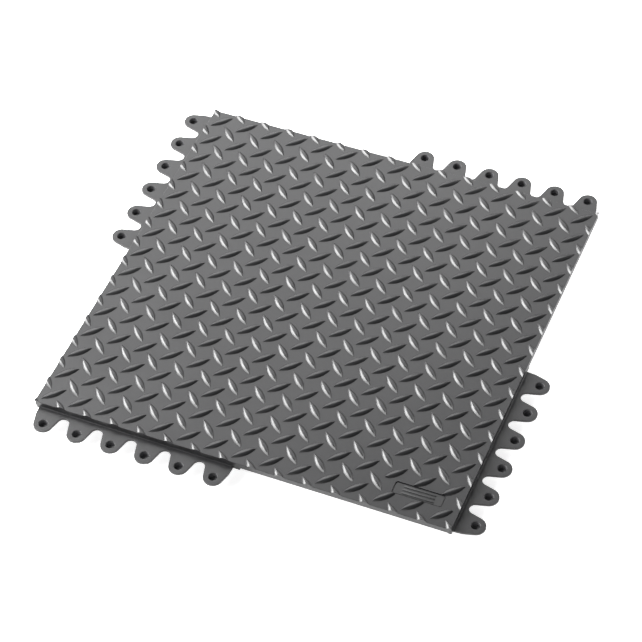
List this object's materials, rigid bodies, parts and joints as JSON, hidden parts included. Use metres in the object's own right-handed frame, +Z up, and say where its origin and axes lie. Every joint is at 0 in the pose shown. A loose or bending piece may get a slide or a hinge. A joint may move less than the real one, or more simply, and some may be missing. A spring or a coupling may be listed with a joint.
{
  "type": "anti fatigue mat",
  "caption": "Square modular anti-fatigue floor tile of solid rubber: diamond tread deck, perforated lock tabs on half of each side, pegs under the other half, post supports below.",
  "frame": {"origin": "centre of the footprint, on the floor, with the sides' tabs counted in the footprint", "axes": "+Z up, +X and +Y along the sides; the label is near the corner at +X -Y, and the front side is at -Y"},
  "size_m": [0.5154, 0.5154, 0.0222],
  "materials": {
    "deck_rubber": "satin, moulded",
    "tab_rubber": "satin, moulded",
    "label_rubber": "matt, moulded",
    "support_rubber": "matt, moulded"
  },
  "bodies": {
    "root": {"deck_sheet": "deck_rubber", "label_panel": "label_rubber", "treads_rising": "deck_rubber", "treads_falling": "deck_rubber", "treads_cut_sides": "deck_rubber", "treads_cut_ends": "deck_rubber", "tab_rail_front": "tab_rubber", "lock_tabs_front": "tab_rubber", "lock_pegs_front": "support_rubber", "edge_posts_front": "support_rubber", "tab_rail_right": "tab_rubber", "lock_tabs_right": "tab_rubber", "lock_pegs_right": "support_rubber", "edge_posts_right": "support_rubber", "tab_rail_back": "tab_rubber", "lock_tabs_back": "tab_rubber", "lock_pegs_back": "support_rubber", "edge_posts_back": "support_rubber", "tab_rail_left": "tab_rubber", "lock_tabs_left": "tab_rubber", "lock_pegs_left": "support_rubber", "edge_posts_left": "support_rubber", "pedestal_row_01": "support_rubber", "pedestal_row_02": "support_rubber", "pedestal_row_03": "support_rubber", "pedestal_row_04": "support_rubber", "pedestal_row_05": "support_rubber", "pedestal_row_06": "support_rubber", "pedestal_row_07": "support_rubber", "pedestal_row_08": "support_rubber", "pedestal_row_09": "support_rubber", "pedestal_row_10": "support_rubber", "pedestal_row_11": "support_rubber"}
  },
  "joints": []
}
